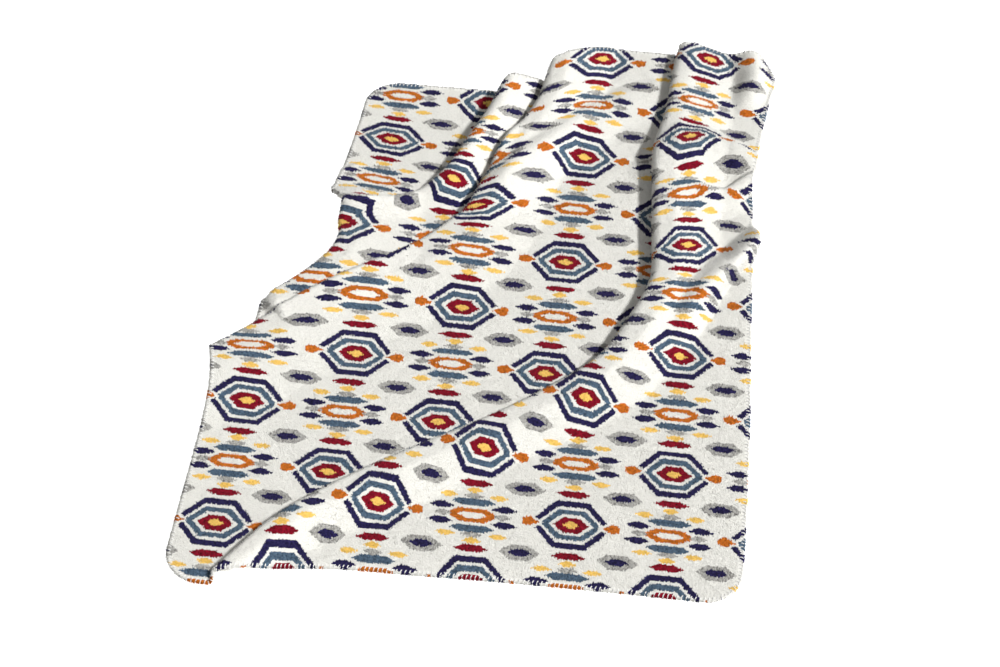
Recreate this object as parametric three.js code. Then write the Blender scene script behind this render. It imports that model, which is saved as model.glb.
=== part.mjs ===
// A knitted throw blanket, laid loosely on a flat surface.
// It is one sheet of thick pile knit with rounded corners and a turned hem. The sheet
// starts flat, and each fold in turn draws one side of it towards the other, so the
// cloth between them rises, leans over and comes down again without stretching.
// Millimetres, +Z up. The throw's long side runs along +Y and its underside is at z = 0.
import * as THREE from 'three';

// The flat throw
const WIDTH = 1270;
const LENGTH = 1730;
const CORNER_RADIUS = 80;
const THICKNESS = 5;

// How it lies: turned a little clockwise, with its middle at this place
const TURN = THREE.MathUtils.degToRad(8.1);
const MIDDLE = { x: 60, y: 68 };

// Bends of the cloth inside a fold
const FOOT_RADIUS = 6;
const CREST_RADIUS = 13;
const BROW_RADIUS = 30;
const STEEPEST_LEE = THREE.MathUtils.degToRad(179.9);

const STATION_STEP = 16;

// Past a fold, its pull becomes the one of the place over this distance
const SETTLE = 150;

// The sheet is worked out on a grid this fine, and then thinned
const GRID_STEP = 5;
const MOST_TRIANGLES = 4600;
const RIM_WEIGHT = 30;

// A fold's rows run along the edge of its crest, as it shows from above.
// columns: x, y, rise, slope of its back in degrees, level shelf behind the crest
// Its pulls say how far the moved side is drawn, by the place along the axis.
// columns: place, pull in x, pull in y
const LONG_FOLD = {
  moves: 'right',
  axis: { x: 0.5, y: 0.866 },
  rows: [
    [-600, -720, 20, 34, 10],
    [-540, -655, 26, 32, 15],
    [-465, -575, 32, 26, 20],
    [-370, -495, 30, 22, 25],
    [-210, -395, 30, 20, 30],
    [-30, -296, 30, 20, 30],
    [113, -205, 32, 20, 30],
    [225, -115, 36, 22, 30],
    [305, 20, 42, 24, 30],
    [345, 123, 46, 26, 30],
    [353, 276, 48, 24, 30],
    [358, 378, 48, 24, 30],
    [361, 465, 46, 23, 30],
    [374, 569, 44, 22, 25],
    [399, 660, 42, 21, 20],
    [420, 791, 40, 20, 15],
    [441, 900, 38, 20, 15],
    [455, 1000, 38, 20, 15],
  ],
  pulls: [
    [-980, -5, 10],
    [-930, -10, 35],
    [-880, -20, 80],
    [-840, -32, 92],
    [-762, -56, 98],
    [-700, -78, 104],
    [-440, -84, 112],
    [-270, -90, 106],
    [-70, -105, 106],
    [170, -122, 108],
    [420, -150, 108],
    [620, -182, 88],
    [850, -168, 50],
    [1120, -150, 20],
  ],
};

const HEM_FOLD = {
  moves: 'left',
  axis: { x: 0.75, y: 0.66 },
  rows: [
    [-760, -150, 22, 9, 60],
    [-640, -85, 22, 9, 60],
    [-548, -20, 22, 9, 60],
    [-454, 55, 22, 9, 60],
    [-342, 132, 22, 9, 60],
    [-236, 200, 22, 9, 60],
    [-140, 275, 24, 10, 55],
    [-60, 365, 28, 13, 40],
    [-5, 480, 36, 19, 30],
    [35, 580, 42, 22, 25],
    [80, 660, 44, 24, 20],
    [115, 755, 44, 24, 20],
    [142, 870, 44, 24, 20],
    [165, 980, 44, 24, 20],
  ],
  pulls: [
    [-600, 70, -140],
    [-440, 50, -146],
    [-360, 20, -150],
    [-200, 40, -150],
    [0, 98, -150],
    [150, 104, -150],
    [450, 104, -155],
    [750, 106, -158],
  ],
};

const CORNER_FOLD = {
  moves: 'left',
  axis: { x: 0.6, y: 0.8 },
  rows: [
    [-520, 380, 18, 24, 0],
    [-362, 385, 18, 24, 0],
    [-316, 382, 15, 24, 0],
    [-252, 385, 18, 24, 0],
    [-190, 405, 24, 26, 0],
    [-135, 450, 36, 28, 0],
    [-88, 530, 44, 32, 0],
    [-33, 655, 50, 34, 0],
    [2, 775, 48, 34, 0],
    [30, 900, 48, 34, 0],
  ],
  pulls: [
    [0, 40, -4],
    [180, 42, -6],
    [450, 42, -66],
    [500, 41, -62],
    [620, 38, -50],
    [680, 30, -50],
    [900, 28, -52],
  ],
};

// Half-way up the left side the margin is turned under. Its pull is square to the line.
// columns: x, y, rise, slope of its back in degrees, level shelf, pull
const MARGIN_FOLD = {
  moves: 'left',
  rows: [
    [-640, 0, 10, 14, 20, 0],
    [-580, 45, 12, 14, 20, 0],
    [-522, 84, 16, 14, 20, 2],
    [-460, 124, 20, 12, 30, 64],
    [-402, 180, 22, 10, 35, 102],
    [-366, 232, 22, 9, 40, 115],
    [-352, 280, 22, 9, 40, 116],
    [-360, 328, 22, 9, 40, 106],
    [-382, 372, 20, 9, 35, 78],
    [-412, 414, 16, 9, 30, 44],
    [-458, 462, 12, 9, 30, 0],
  ],
};

const FOLDS = [LONG_FOLD, HEM_FOLD, MARGIN_FOLD, CORNER_FOLD];

// Soft rolls, which rise without drawing the cloth in.
// columns: x, y, rise, width of its left side, width of its right side, lean to the left
const ROLLS = [
  [
    [-520, 390, 14, 50, 60, 0],
    [-362, 390, 14, 50, 60, 0],
    [-316, 383, 14, 50, 60, 0],
    [-252, 385, 5, 55, 60, 0],
    [-190, 405, 0, 55, 60, 0],
    [-150, 415, 0, 50, 60, 0],
  ],
  [
    [-80, 330, 0, 45, 90, 0],
    [-5, 415, 12, 45, 90, 0],
    [64, 495, 17, 45, 90, 0],
    [169, 615, 17, 45, 90, 0],
    [264, 715, 12, 45, 90, 0],
    [344, 760, 5, 45, 90, 0],
    [420, 790, 0, 45, 90, 0],
  ],
  [
    [300, 470, 0, 50, 70, 0],
    [353, 500, 12, 55, 80, 0.3],
    [400, 520, 20, 90, 100, 0.1],
    [450, 522, 34, 105, 110, 0.2],
    [490, 522, 42, 105, 110, 0.3],
    [530, 505, 46, 85, 100, 0.4],
    [575, 485, 38, 65, 85, 0.4],
    [640, 470, 22, 55, 75, 0.3],
  ],
  [
    [620, 330, 28, 36, 40, 0.3],
    [570, 268, 38, 36, 40, 0.5],
    [535, 228, 40, 36, 40, 0.6],
    [490, 168, 36, 36, 40, 0.6],
    [450, 95, 26, 38, 40, 0.4],
    [415, 20, 12, 40, 40, 0.2],
    [390, -60, 0, 40, 40, 0],
  ],
  [
    [600, 960, 30, 50, 60, 0.2],
    [590, 855, 30, 50, 60, 0.2],
    [592, 800, 30, 50, 50, 0.2],
    [578, 740, 20, 45, 45, 0.2],
    [560, 680, 0, 45, 45, 0],
  ],
  [
    [400, 400, 0, 30, 60, 0],
    [447, 405, 12, 28, 60, 0.4],
    [480, 392, 20, 28, 60, 0.5],
    [520, 400, 24, 28, 60, 0.5],
    [560, 430, 20, 28, 60, 0.4],
    [620, 460, 14, 28, 60, 0],
  ],
];

const IVORY = 0xebe8df;

const clamp = THREE.MathUtils.clamp;

function ease(t) {
  const k = clamp(t, 0, 1);
  return k * k * (3 - 2 * k);
}

// A smooth line through rows, at stations a step apart. The other columns follow along.
function smoothRows(rows, step) {
  const line = [];
  for (let i = 0; i < rows.length - 1; i++) {
    const before = rows[Math.max(i - 1, 0)];
    const start = rows[i];
    const end = rows[i + 1];
    const after = rows[Math.min(i + 2, rows.length - 1)];
    const count = Math.max(2, Math.floor(Math.hypot(end[0] - start[0], end[1] - start[1]) / step));
    for (let k = 0; k < count; k++) {
      const t = k / count;
      const hermite = [
        2 * t ** 3 - 3 * t ** 2 + 1,
        t ** 3 - 2 * t ** 2 + t,
        -2 * t ** 3 + 3 * t ** 2,
        t ** 3 - t ** 2,
      ];
      line.push(start.map((value, column) => (
        hermite[0] * value
        + hermite[1] * (end[column] - before[column]) / 2
        + hermite[2] * end[column]
        + hermite[3] * (after[column] - value) / 2
      )));
    }
  }
  line.push([...rows[rows.length - 1]]);
  return line;
}

// Unit direction along the line at each station
function directions(line) {
  return line.map((_, i) => {
    const a = line[Math.max(i - 1, 0)];
    const b = line[Math.min(i + 1, line.length - 1)];
    const length = Math.hypot(b[0] - a[0], b[1] - a[1]);
    return { x: (b[0] - a[0]) / length, y: (b[1] - a[1]) / length };
  });
}

// The nearest place on a line: which station, how far on, and the distance, + to the right
function nearestOn(line, x, y) {
  let best = Infinity;
  let place = 0;
  let side = 1;
  for (let i = 0; i < line.length - 1; i++) {
    const dx = line[i + 1][0] - line[i][0];
    const dy = line[i + 1][1] - line[i][1];
    const wx = x - line[i][0];
    const wy = y - line[i][1];
    const t = clamp((wx * dx + wy * dy) / (dx * dx + dy * dy), 0, 1);
    const ex = wx - t * dx;
    const ey = wy - t * dy;
    const square = ex * ex + ey * ey;
    if (square < best) {
      best = square;
      place = i + t;
      side = dx * wy - dy * wx > 0 ? -1 : 1;
    }
  }
  return { place, distance: side * Math.sqrt(best) };
}

// The angle at which the lee must stand to take up the cloth that the pull frees
function leeAngle(gather, rise, bend) {
  let low = 0;
  let high = STEEPEST_LEE;
  for (let i = 0; i < 40; i++) {
    const angle = (low + high) / 2;
    const half = Math.tan(angle / 2);
    if (rise * half + bend * (angle - 2 * half) > gather) high = angle;
    else low = angle;
  }
  return (low + high) / 2;
}

// The length of straight cloth between two bends that rise to a height together
function straightPart(rise, bend, angle) {
  if (angle < 1e-3) return 0;
  return Math.max(rise - bend * (1 - Math.cos(angle)), 0) / Math.max(Math.sin(angle), 1e-4);
}

// A table of pulls, eased from row to row, as a function of place
function pullTable(fold) {
  const first = fold.pulls[0][0];
  const last = fold.pulls[fold.pulls.length - 1][0];
  const count = 60;
  const raw = (place, column) => {
    let i = 0;
    while (i < fold.pulls.length - 2 && place > fold.pulls[i + 1][0]) i++;
    const [a, b] = [fold.pulls[i], fold.pulls[i + 1]];
    const t = clamp((place - a[0]) / (b[0] - a[0]), 0, 1);
    return a[column] + (b[column] - a[column]) * t;
  };
  let table = [];
  for (let i = 0; i < count; i++) {
    const place = first + (last - first) * i / (count - 1);
    table.push([raw(place, 1), raw(place, 2)]);
  }
  for (let pass = 0; pass < 30; pass++) {
    table = table.map((row, i) => {
      if (i === 0 || i === count - 1) return row;
      return row.map((value, c) => (table[i - 1][c] + 2 * value + table[i + 1][c]) / 4);
    });
  }
  return (x, y) => {
    const place = x * fold.axis.x + y * fold.axis.y;
    const at = clamp((place - first) / (last - first), 0, 1) * (count - 1);
    const i = Math.min(Math.floor(at), count - 2);
    const t = at - i;
    return {
      x: table[i][0] * (1 - t) + table[i + 1][0] * t,
      y: table[i][1] * (1 - t) + table[i + 1][1] * t,
    };
  };
}

// Works out a fold's cross-section at each station of its line
function prepareFold(fold) {
  const line = smoothRows(fold.rows, STATION_STEP);
  const along = directions(line);
  const pullAt = fold.pulls ? pullTable(fold) : null;
  const right = fold.moves === 'right';
  const stations = line.map(([x, y, height, slope, level, draw], i) => {
    const tangent = along[i];
    const normal = { x: tangent.y, y: -tangent.x };
    const ahead = right ? 100 : -100;
    const pull = pullAt
      ? pullAt(x + ahead * normal.x, y + ahead * normal.y)
      : { x: draw * normal.x, y: draw * normal.y };
    const across = pull.x * normal.x + pull.y * normal.y;
    const gather = Math.max(right ? -across : across, 0);
    const back = THREE.MathUtils.degToRad(slope);
    const rise = Math.max(Math.min(height, gather / (2 * Math.tan(back / 2))), 0.01);
    const bend = Math.min(FOOT_RADIUS + CREST_RADIUS, 0.49 * rise);
    const foot = Math.min(FOOT_RADIUS, bend / 2);
    const brow = Math.min(2 * BROW_RADIUS, 0.9 * rise / Math.max(1 - Math.cos(back), 1e-6));
    const taken = rise * Math.tan(back / 2) + brow * (back - 2 * Math.tan(back / 2));
    const lee = leeAngle(Math.max(gather - taken, 0), rise, bend);
    return {
      nx: normal.x,
      ny: normal.y,
      pullX: pull.x,
      pullY: pull.y,
      slide: pull.x * tangent.x + pull.y * tangent.y,
      spread: right ? across + gather : across - gather,
      lee,
      back,
      foot,
      crest: bend - foot,
      face: straightPart(rise, bend, lee),
      level: Math.max(level, 0),
      brow: brow / 2,
      slope: straightPart(rise, brow, back),
    };
  });
  return { ...fold, line, stations, pullAt, right };
}

function between(stations, place) {
  const i = Math.min(Math.floor(place), stations.length - 2);
  const t = place - i;
  const mix = {};
  for (const key of Object.keys(stations[0])) {
    mix[key] = stations[i][key] * (1 - t) + stations[i + 1][key] * t;
  }
  const size = Math.hypot(mix.nx, mix.ny);
  mix.nx /= size;
  mix.ny /= size;
  return mix;
}

// The cross-section as arcs and straight parts: length, angle at its start and at its end
function sectionParts(s) {
  return [
    [s.foot * s.lee, 0, s.lee],
    [s.face, s.lee, s.lee],
    [s.crest * s.lee, s.lee, 0],
    [s.level, 0, 0],
    [s.brow * s.back, 0, -s.back],
    [s.slope, -s.back, -s.back],
    [s.brow * s.back, -s.back, 0],
  ];
}

function partAdvance(length, start, end) {
  const turn = end - start;
  if (Math.abs(turn) < 1e-6) return { x: length * Math.cos(start), z: length * Math.sin(start) };
  const radius = length / turn;
  return {
    x: radius * (Math.sin(end) - Math.sin(start)),
    z: radius * (Math.cos(start) - Math.cos(end)),
  };
}

function sectionSize(parts) {
  const size = { length: 0, advance: 0, lowest: 0 };
  for (const [length, start, end] of parts) {
    size.length += length;
    size.advance += partAdvance(length, start, end).x;
    size.lowest = Math.min(size.lowest, size.advance);
  }
  return size;
}

// Where the cloth has got to, a length of it into the section
function sectionAt(parts, distance) {
  const at = { x: 0, z: 0 };
  let left = distance;
  for (const [length, start, end] of parts) {
    if (left <= 0) break;
    const used = Math.min(left, length);
    const share = length > 0 ? used / length : 0;
    const step = partAdvance(used, start, start + (end - start) * share);
    at.x += step.x;
    at.z += step.z;
    left -= length;
  }
  return at;
}

function applyFold(point, fold) {
  const { place, distance } = nearestOn(fold.line, point.x, point.y);
  const station = between(fold.stations, place);
  const parts = sectionParts(station);
  const size = sectionSize(parts);
  const begin = fold.right ? -size.lowest : size.advance - size.lowest - size.length;
  const inside = distance - begin;
  const fixed = fold.right ? inside <= 0 : inside >= size.length;
  if (fixed) return;
  const past = fold.right ? inside - size.length : -inside;
  if (past >= 0) {
    const own = fold.pullAt ? fold.pullAt(point.x, point.y) : { x: station.pullX, y: station.pullY };
    const k = ease(past / SETTLE);
    point.x += station.pullX * (1 - k) + own.x * k;
    point.y += station.pullY * (1 - k) + own.y * k;
    return;
  }
  const at = sectionAt(parts, inside);
  const share = fold.right ? ease(inside / size.length) : 1 - ease(inside / size.length);
  const slid = station.slide * share;
  const start = fold.right ? begin : begin + size.length - size.advance;
  const shift = start + at.x - distance + station.spread * share;
  point.x += shift * station.nx - slid * station.ny;
  point.y += shift * station.ny + slid * station.nx;
  point.z += at.z;
}

function prepareRoll(rows) {
  const line = smoothRows(rows, STATION_STEP);
  return { line, along: directions(line) };
}

function valueAt(line, place, column) {
  const i = Math.min(Math.floor(place), line.length - 2);
  return line[i][column] + (line[i + 1][column] - line[i][column]) * (place - i);
}

function directionAt(along, place) {
  const i = Math.min(Math.floor(place), along.length - 2);
  const t = place - i;
  return {
    x: along[i].x * (1 - t) + along[i + 1].x * t,
    y: along[i].y * (1 - t) + along[i + 1].y * t,
  };
}

function applyRoll(point, roll) {
  const { place, distance } = nearestOn(roll.line, point.x, point.y);
  const width = valueAt(roll.line, place, distance < 0 ? 3 : 4);
  if (Math.abs(distance) >= width) return;
  const rise = Math.max(valueAt(roll.line, place, 2), 0) * (1 - (distance / width) ** 2) ** 2;
  const lean = valueAt(roll.line, place, 5) * rise;
  const along = directionAt(roll.along, place);
  point.x -= along.y * lean;
  point.y += along.x * lean;
  point.z += rise;
}

// Brings a place on the flat throw to where it lies
function makeLay() {
  const folds = FOLDS.map(prepareFold);
  const rolls = ROLLS.map(prepareRoll);
  return (u, v) => {
    const fromMiddleX = u - WIDTH / 2;
    const fromMiddleY = v - LENGTH / 2;
    const point = {
      x: Math.cos(TURN) * fromMiddleX + Math.sin(TURN) * fromMiddleY + MIDDLE.x,
      y: -Math.sin(TURN) * fromMiddleX + Math.cos(TURN) * fromMiddleY + MIDDLE.y,
      z: 0,
    };
    for (const fold of folds) applyFold(point, fold);
    for (const roll of rolls) applyRoll(point, roll);
    return point;
  };
}

// Moves a place near a corner of the full rectangle onto the throw with round corners
function roundCorners(u, v) {
  const corner = (value, size) => {
    if (value < CORNER_RADIUS) return { sign: -1, centre: CORNER_RADIUS };
    if (value > size - CORNER_RADIUS) return { sign: 1, centre: size - CORNER_RADIUS };
    return null;
  };
  const cu = corner(u, WIDTH);
  const cv = corner(v, LENGTH);
  if (!cu || !cv) return [u, v];
  const a = Math.abs(u - cu.centre) / CORNER_RADIUS;
  const b = Math.abs(v - cv.centre) / CORNER_RADIUS;
  return [
    cu.centre + cu.sign * CORNER_RADIUS * a * Math.sqrt(1 - b * b / 2),
    cv.centre + cv.sign * CORNER_RADIUS * b * Math.sqrt(1 - a * a / 2),
  ];
}

// The middle of the cloth as a fine grid: places on the flat throw, points and normals
function makeGrid() {
  const lay = makeLay();
  const across = Math.round(WIDTH / GRID_STEP);
  const up = Math.round(LENGTH / GRID_STEP);
  const flat = [];
  const points = [];
  for (let j = 0; j <= up; j++) {
    for (let i = 0; i <= across; i++) {
      const [u, v] = roundCorners(WIDTH * i / across, LENGTH * j / up);
      const { x, y, z } = lay(u, v);
      flat.push([u, v]);
      points.push([x, y, z]);
    }
  }
  const index = (i, j) => clamp(j, 0, up) * (across + 1) + clamp(i, 0, across);
  const triangles = [];
  for (let j = 0; j < up; j++) {
    for (let i = 0; i < across; i++) {
      const [a, b, c, d] = [index(i, j), index(i + 1, j), index(i + 1, j + 1), index(i, j + 1)];
      if ((i + j) % 2) triangles.push([a, b, c], [a, c, d]);
      else triangles.push([a, b, d], [b, c, d]);
    }
  }
  return { flat, points, triangles, normals: vertexNormals(points, triangles) };
}

function faceNormal([ax, ay, az], [bx, by, bz], [cx, cy, cz]) {
  const [ux, uy, uz, vx, vy, vz] = [bx - ax, by - ay, bz - az, cx - ax, cy - ay, cz - az];
  return [uy * vz - uz * vy, uz * vx - ux * vz, ux * vy - uy * vx];
}

function vertexNormals(points, triangles) {
  const normals = points.map(() => [0, 0, 0]);
  for (const corners of triangles) {
    const normal = faceNormal(...corners.map((corner) => points[corner]));
    for (const corner of corners) {
      for (let axis = 0; axis < 3; axis++) normals[corner][axis] += normal[axis];
    }
  }
  for (const normal of normals) {
    const size = Math.hypot(...normal) || 1;
    for (let axis = 0; axis < 3; axis++) normal[axis] /= size;
  }
  return normals;
}

// Squared distance to a plane as ten sums, for thinning the grid
function planeSums([nx, ny, nz], [x, y, z], weight) {
  const d = -(nx * x + ny * y + nz * z);
  return [nx * nx, nx * ny, nx * nz, nx * d, ny * ny, ny * nz, ny * d, nz * nz, nz * d, d * d]
    .map((value) => value * weight);
}

function sumError(q, [x, y, z]) {
  return q[0] * x * x + 2 * q[1] * x * y + 2 * q[2] * x * z + 2 * q[3] * x
    + q[4] * y * y + 2 * q[5] * y * z + 2 * q[6] * y
    + q[7] * z * z + 2 * q[8] * z + q[9];
}

// A heap of [cost, ...] entries, the cheapest first
class Heap {
  constructor() {
    this.items = [];
  }

  push(item) {
    const { items } = this;
    let i = items.push(item) - 1;
    while (i > 0) {
      const up = (i - 1) >> 1;
      if (items[up][0] <= items[i][0]) break;
      [items[up], items[i]] = [items[i], items[up]];
      i = up;
    }
  }

  pop() {
    const { items } = this;
    const top = items[0];
    const last = items.pop();
    if (items.length) {
      items[0] = last;
      let i = 0;
      for (;;) {
        const left = 2 * i + 1;
        if (left >= items.length) break;
        const right = left + 1;
        const least = right < items.length && items[right][0] < items[left][0] ? right : left;
        if (items[i][0] <= items[least][0]) break;
        [items[least], items[i]] = [items[i], items[least]];
        i = least;
      }
    }
    return top;
  }
}

// Thins the grid by drawing points into their neighbours, where the shape changes least
function thinGrid({ flat, points, triangles, normals }) {
  const faces = points.map(() => new Set());
  const sums = points.map(() => new Array(10).fill(0));
  const alive = triangles.map(() => true);
  const edges = new Map();
  const addSums = (vertex, more) => {
    for (let i = 0; i < 10; i++) sums[vertex][i] += more[i];
  };
  triangles.forEach((corners, face) => {
    const normal = faceNormal(...corners.map((corner) => points[corner]));
    const size = Math.hypot(...normal) || 1;
    const unit = normal.map((value) => value / size);
    const plane = planeSums(unit, points[corners[0]], 1);
    corners.forEach((corner, i) => {
      faces[corner].add(face);
      addSums(corner, plane);
      const next = corners[(i + 1) % 3];
      const key = Math.min(corner, next) * points.length + Math.max(corner, next);
      if (edges.has(key)) edges.set(key, null);
      else edges.set(key, { corner, next, unit });
    });
  });
  const rim = new Set();
  for (const edge of edges.values()) {
    if (!edge) continue;
    const { corner, next, unit } = edge;
    rim.add(corner).add(next);
    const along = points[next].map((value, axis) => value - points[corner][axis]);
    const wall = faceNormal([0, 0, 0], along, unit);
    const size = Math.hypot(...wall) || 1;
    const plane = planeSums(wall.map((value) => value / size), points[corner], RIM_WEIGHT);
    addSums(corner, plane);
    addSums(next, plane);
  }
  const neighbours = (vertex) => {
    const found = new Set();
    for (const face of faces[vertex]) for (const corner of triangles[face]) found.add(corner);
    found.delete(vertex);
    return found;
  };
  const version = new Uint32Array(points.length);
  const heap = new Heap();
  const consider = (from, to) => {
    if (rim.has(from) && !rim.has(to)) return;
    const both = sums[from].map((value, i) => value + sums[to][i]);
    heap.push([sumError(both, points[to]), from, to, version[from], version[to]]);
  };
  const flatArea = (corners) => {
    const [a, b, c] = corners.map((corner) => flat[corner]);
    return (b[0] - a[0]) * (c[1] - a[1]) - (b[1] - a[1]) * (c[0] - a[0]);
  };
  const longestSide = (corners) => {
    const [a, b, c] = corners.map((corner) => flat[corner]);
    return Math.max(
      Math.hypot(b[0] - a[0], b[1] - a[1]),
      Math.hypot(c[0] - b[0], c[1] - b[1]),
      Math.hypot(a[0] - c[0], a[1] - c[1]),
    );
  };
  const allowed = (from, to) => {
    const shared = [...neighbours(from)].filter((vertex) => neighbours(to).has(vertex));
    const common = [...faces[from]].filter((face) => faces[to].has(face));
    if (shared.length !== common.length) return false;
    if (rim.has(from) && common.length !== 1) return false;
    for (const face of faces[from]) {
      if (faces[to].has(face)) continue;
      const moved = triangles[face].map((corner) => (corner === from ? to : corner));
      if (flatArea(moved) < 0.03 * longestSide(moved) ** 2) return false;
      const normal = faceNormal(...moved.map((corner) => points[corner]));
      const size = Math.hypot(...normal) || 1;
      const worst = Math.min(...moved.map((corner) => (
        normals[corner][0] * normal[0] + normals[corner][1] * normal[1] + normals[corner][2] * normal[2]
      ) / size));
      if (worst < 0.3) return false;
    }
    return true;
  };
  points.forEach((_, vertex) => neighbours(vertex).forEach((other) => consider(vertex, other)));
  let count = triangles.length;
  while (count > MOST_TRIANGLES && heap.items.length) {
    const [, from, to, fromVersion, toVersion] = heap.pop();
    if (version[from] !== fromVersion || version[to] !== toVersion) continue;
    if (!faces[from].size || !allowed(from, to)) continue;
    for (const face of [...faces[from]]) {
      if (faces[to].has(face)) {
        alive[face] = false;
        count -= 1;
        for (const corner of triangles[face]) faces[corner].delete(face);
      } else {
        triangles[face] = triangles[face].map((corner) => (corner === from ? to : corner));
        faces[to].add(face);
      }
    }
    faces[from].clear();
    addSums(to, sums[from]);
    version[from] += 1;
    version[to] += 1;
    for (const other of neighbours(to)) {
      consider(to, other);
      consider(other, to);
    }
  }
  return triangles.filter((_, face) => alive[face]);
}

// The rim's points in order, counter-clockwise on the flat throw
function rimOf(triangles) {
  const next = new Map();
  const seen = new Set();
  for (const corners of triangles) {
    corners.forEach((corner, i) => seen.add(`${corner},${corners[(i + 1) % 3]}`));
  }
  for (const corners of triangles) {
    corners.forEach((corner, i) => {
      const other = corners[(i + 1) % 3];
      if (!seen.has(`${other},${corner}`)) next.set(corner, other);
    });
  }
  const [first] = next.keys();
  const rim = [first];
  for (let at = next.get(first); at !== first; at = next.get(at)) rim.push(at);
  return rim;
}

// Gives the thinned sheet its thickness: an upper face, a lower face and a rim
function makeSolid(grid, triangles) {
  const kept = [...new Set(triangles.flat())];
  const place = new Map(kept.map((vertex, i) => [vertex, i]));
  const half = THICKNESS / 2;
  const positions = [];
  for (const side of [1, -1]) {
    for (const vertex of kept) {
      const [x, y, z] = grid.points[vertex];
      const [nx, ny, nz] = grid.normals[vertex];
      const height = half + z + side * half * nz;
      positions.push(x + side * half * nx, y + side * half * ny, Math.max(height, 0));
    }
  }
  const indices = [];
  for (const corners of triangles) {
    const [a, b, c] = corners.map((vertex) => place.get(vertex));
    indices.push(a, b, c);
    indices.push(c + kept.length, b + kept.length, a + kept.length);
  }
  const rim = rimOf(triangles).map((vertex) => place.get(vertex));
  rim.forEach((a, i) => {
    const b = rim[(i + 1) % rim.length];
    indices.push(a, a + kept.length, b + kept.length);
    indices.push(a, b + kept.length, b);
  });
  const geometry = new THREE.BufferGeometry();
  geometry.setAttribute('position', new THREE.Float32BufferAttribute(positions, 3));
  geometry.setIndex(indices);
  return geometry;
}

// Puts the origin under the middle of the folded throw
function centre(geometry) {
  geometry.computeBoundingBox();
  const middle = geometry.boundingBox.getCenter(new THREE.Vector3());
  geometry.translate(-middle.x, -middle.y, -geometry.boundingBox.min.z);
}

function makeThrow() {
  const grid = makeGrid();
  const geometry = makeSolid(grid, thinGrid(grid));
  centre(geometry);
  geometry.computeVertexNormals();
  const material = new THREE.MeshStandardMaterial({ color: IVORY, roughness: 0.95, metalness: 0 });
  const mesh = new THREE.Mesh(geometry, material);
  mesh.name = 'throw';
  return mesh;
}

const group = new THREE.Group();
group.add(makeThrow());

export default group;
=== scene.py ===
"""A knitted throw blanket, laid loosely on a white surface.

The throw is one sheet of thick fleecy knit. It starts flat, and each fold in turn draws one
side of it in, so that the cloth between rises, leans over and comes down again. Short
tufts of pile cover its face, each the colour of its own stitch in the knitted design, and a
white overcast stitch runs round the hem. Sizes here are in millimetres until a mesh is made.
"""

import math

import bpy
import numpy as np
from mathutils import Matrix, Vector

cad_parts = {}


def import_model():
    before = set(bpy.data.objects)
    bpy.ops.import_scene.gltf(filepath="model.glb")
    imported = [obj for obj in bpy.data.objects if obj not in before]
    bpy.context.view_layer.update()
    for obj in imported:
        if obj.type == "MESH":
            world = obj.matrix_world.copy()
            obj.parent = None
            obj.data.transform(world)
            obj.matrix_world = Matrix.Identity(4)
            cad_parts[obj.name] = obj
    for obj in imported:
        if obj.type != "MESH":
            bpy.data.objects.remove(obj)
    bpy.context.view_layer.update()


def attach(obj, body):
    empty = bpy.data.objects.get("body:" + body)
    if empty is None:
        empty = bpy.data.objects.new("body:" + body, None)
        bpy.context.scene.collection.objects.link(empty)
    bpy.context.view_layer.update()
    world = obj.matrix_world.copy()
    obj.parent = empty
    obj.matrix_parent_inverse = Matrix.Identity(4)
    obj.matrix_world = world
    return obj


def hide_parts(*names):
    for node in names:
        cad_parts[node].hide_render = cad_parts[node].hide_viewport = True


# The flat throw
WIDTH = 1270.0
LENGTH = 1730.0
CORNER_RADIUS = 80.0
THICKNESS = 5.0

# How it lies: turned a little clockwise, with its middle at this place
TURN = math.radians(8.1)
MIDDLE = np.array([60.0, 68.0])

# The middle of the laid throw, which is the frame's origin
ORIGIN = np.array([-18.01, 75.27])

# Bends of the cloth inside a fold
FOOT_RADIUS = 6.0
CREST_RADIUS = 13.0
BROW_RADIUS = 30.0
STEEPEST_LEE = math.radians(179.9)

# Past a fold, its pull becomes the one of the place over this distance
SETTLE = 150.0

# A fold's line has stations this far apart
STATION_STEP = 16.0

# A fold's pulls are read at this many places, and evened out this many times
PULL_PLACES = 60
PULL_EASINGS = 30

# Halvings in the search for the angle of a lee
ANGLE_STEPS = 40

# The sheet's grid: columns and rows
GRID = (188, 256)

# The pile on its face. It is made in strips, which keeps each piece small.
TUFT_STRIPS = 5
TUFT_SPACING = 3.05
TUFT_RADIUS = 2.2
TUFT_HEIGHT = 4.8
TUFT_LEAN = 1.0
TUFT_ROOT_DEPTH = 0.4
SEED = 7

# Tufts stray from their row by up to this share of the spacing, and differ in height
TUFT_STRAY = 0.35
HEIGHT_SHARES = (0.6, 1.15)

# How far a tuft takes the light by its own round shape, and not by the cloth's
TUFT_ROUNDNESS = 0.75

# A way that hardly any part of the cloth faces, from which the tufts' own ways are found
TUFT_GUIDE = (0.31, 0.95, 0.05)

# The share of a tuft's width that it takes in the map for baking, and the map's margin
TUFT_BAKE_SIZE = 0.62
BAKE_MARGIN = 5

# In the cloth's own map for baking, this many throws would lie side by side
CLOTH_BAKE_WIDTH = 2.1

# The pile is pressed down by the stitches as far in as this, to this share of its height
PRESSED_WIDTH = 9.0
PRESSED_HEIGHT = 0.35

# The tufts of the hem stand at these levels over the middle of the cloth
HEM_TUFT_SPACING = 2.2
HEM_TUFT_HEIGHT = 3.6
HEM_TUFT_STRAY = 1.0
HEM_TUFT_LEVELS = (-2.0, 0.5, 3.0)

# The overcast stitch: loops of round thread, each through the places of its path
STITCH_SPACING = 9.5
STITCH_RADIUS = 1.1
STITCH_SIDES = 5
STITCH_DEPTH = 7.0
STITCH_REACH = THICKNESS / 2 + 1.6
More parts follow.
